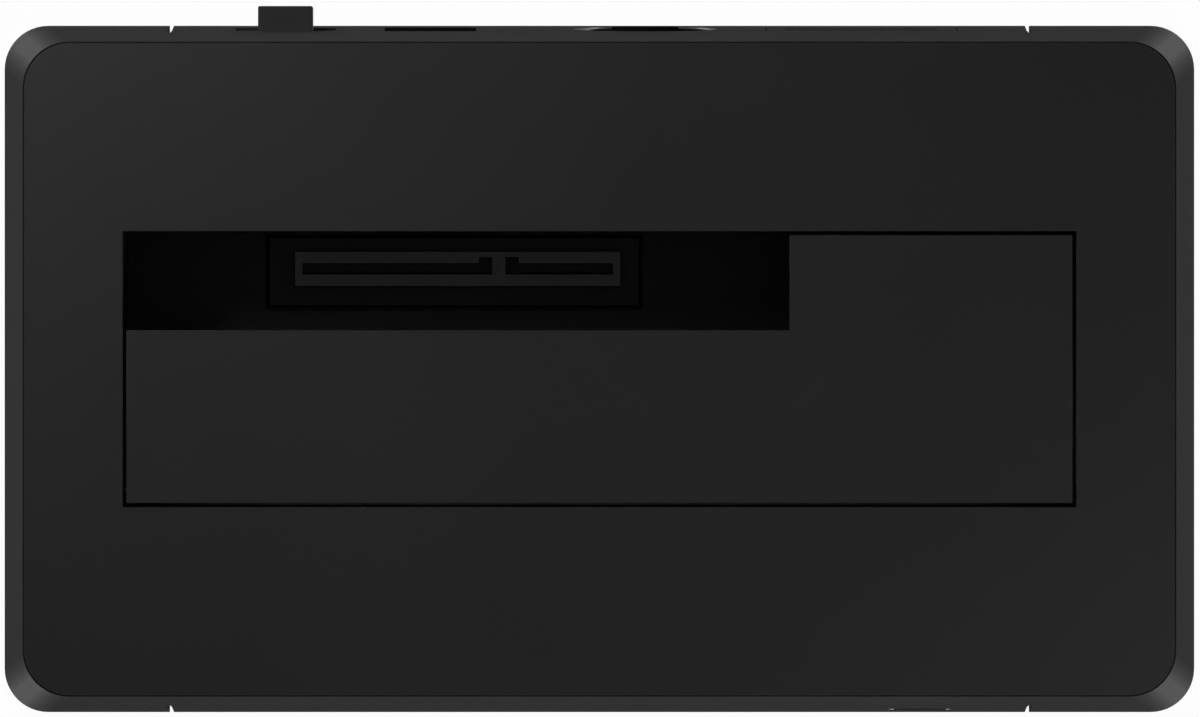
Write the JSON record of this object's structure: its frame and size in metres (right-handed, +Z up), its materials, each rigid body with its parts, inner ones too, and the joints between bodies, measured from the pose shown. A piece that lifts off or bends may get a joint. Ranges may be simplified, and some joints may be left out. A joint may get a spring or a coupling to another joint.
{
  "type": "hard drive docking station",
  "caption": "Upright docking station for bare drives, with a sprung L-shaped flap in its top, a drive connector below it and power and USB ports at the rear.",
  "frame": {"origin": "centre of the bounding box at the level the feet stand on", "axes": "+Z up, +X to the right seen from the front, +Y to the rear, where the ports are"},
  "size_m": [0.1308, 0.0774, 0.06],
  "materials": {
    "case_plastic": "fine satin grain",
    "panel_plastic": "very fine matt grain",
    "flap_plastic": "very fine matt grain",
    "bay_plastic": "matt",
    "button_plastic": "satin",
    "connector_plastic": "moulded, slightly rough",
    "usb_plastic": "satin blue",
    "switch_plastic": "moulded",
    "white_plastic": "moulded",
    "clear_plastic": "clear, slightly frosted",
    "lamp": "clear resin",
    "steel": "zinc plated",
    "spring_steel": "drawn wire",
    "nickel": "nickel plated",
    "gold": "gold plated",
    "board": "solder mask over glass fibre",
    "chip_resin": "matt resin",
    "ferrite": "sintered",
    "can_aluminium": "bright can",
    "ceramic": "fired ceramic",
    "foot_rubber": "soft black rubber"
  },
  "bodies": {
    "root": {"upper_shell": "case_plastic", "top_panel": "panel_plastic", "base_shell": "case_plastic", "drive_bay": "bay_plastic", "hinge_rod": "steel", "flap_spring": "spring_steel", "sata_receptacle": "connector_plastic", "sata_contacts": "gold", "main_board": "board", "usb_shell": "nickel", "usb_insulator": "usb_plastic", "usb_contacts": "gold", "dc_jack_body": "switch_plastic", "dc_jack_pin": "nickel", "dc_jack_spring": "nickel", "switch_body": "switch_plastic", "rear_vent": "bay_plastic", "light_pipe": "clear_plastic", "power_led": "lamp", "bridge_chip": "chip_resin", "power_inductors": "ferrite", "capacitors": "can_aluminium", "crystal": "nickel", "small_chips": "chip_resin", "chip_components": "ceramic", "rubber_feet": "foot_rubber", "case_screws": "steel", "board_screws": "steel", "bay_screws": "steel"},
    "flap": {"drive_flap": "flap_plastic"},
    "button": {"power_button": "button_plastic", "switch_plunger": "white_plastic"}
  },
  "joints": [
    {"name": "flap_hinge", "type": "hinge", "parent": "root", "child": "flap", "pos_m": [0, -0.0141, 0.0583], "axis": [-1, 0, 0], "range_deg": [0, 90], "stiffness_Nm_per_rad": 0.002, "springref_deg": -57.3, "deforming": ["flap_spring"]},
    {"name": "power_button_press", "type": "slide", "parent": "root", "child": "button", "axis": [0, -1, 0], "range_m": [0, 0.0018], "stiffness_N_per_m": 300, "springref_m": -0.001}
  ]
}
